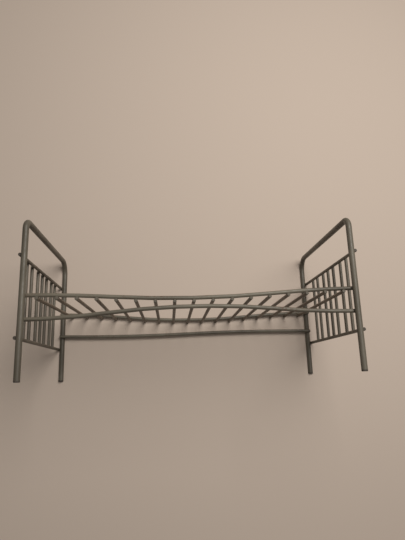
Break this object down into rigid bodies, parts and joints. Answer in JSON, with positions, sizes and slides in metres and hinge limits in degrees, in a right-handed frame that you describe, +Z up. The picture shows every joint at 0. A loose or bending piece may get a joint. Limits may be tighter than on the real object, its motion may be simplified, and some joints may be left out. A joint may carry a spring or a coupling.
{
  "type": "miniature metal bed frame",
  "caption": "Doll's bed frame of welded round wire: two tall bent-rod end hoops with spindle panels, paired side rails and a deck of cross slats",
  "frame": {"origin": "on the floor, in the middle of the bed", "axes": "+X along the bed from the left end hoop to the right one, +Y from the front side to the back side, +Z up; the four leg ends stand on Z = 0"},
  "size_m": [0.3648, 0.1906, 0.1685],
  "materials": {
    "hoop_enamel": "worn satin enamel over steel rod",
    "rail_enamel": "worn satin enamel over steel wire",
    "panel_enamel": "worn satin enamel over steel wire",
    "slat_enamel": "dull enamel with rust-brown wear over steel wire"
  },
  "bodies": {
    "root": {"left_end_hoop": "hoop_enamel", "right_end_hoop": "hoop_enamel", "left_upper_cross_wire": "panel_enamel", "right_upper_cross_wire": "panel_enamel", "left_lower_cross_wire": "panel_enamel", "right_lower_cross_wire": "panel_enamel", "left_spindle_1": "panel_enamel", "left_spindle_2": "panel_enamel", "left_spindle_3": "panel_enamel", "left_spindle_4": "panel_enamel", "left_spindle_5": "panel_enamel", "left_spindle_6": "panel_enamel", "left_spindle_7": "panel_enamel", "right_spindle_1": "panel_enamel", "right_spindle_2": "panel_enamel", "right_spindle_3": "panel_enamel", "right_spindle_4": "panel_enamel", "right_spindle_5": "panel_enamel", "right_spindle_6": "panel_enamel", "right_spindle_7": "panel_enamel", "front_upper_rail": "rail_enamel", "front_lower_rail": "rail_enamel", "back_upper_rail": "rail_enamel", "back_lower_rail": "rail_enamel", "slat_01": "slat_enamel", "slat_02": "slat_enamel", "slat_03": "slat_enamel", "slat_04": "slat_enamel", "slat_05": "slat_enamel", "slat_06": "slat_enamel", "slat_07": "slat_enamel", "slat_08": "slat_enamel", "slat_09": "slat_enamel", "slat_10": "slat_enamel", "slat_11": "slat_enamel", "slat_12": "slat_enamel", "slat_13": "slat_enamel", "slat_14": "slat_enamel", "slat_15": "slat_enamel", "slat_16": "slat_enamel", "slat_17": "slat_enamel"}
  },
  "joints": []
}
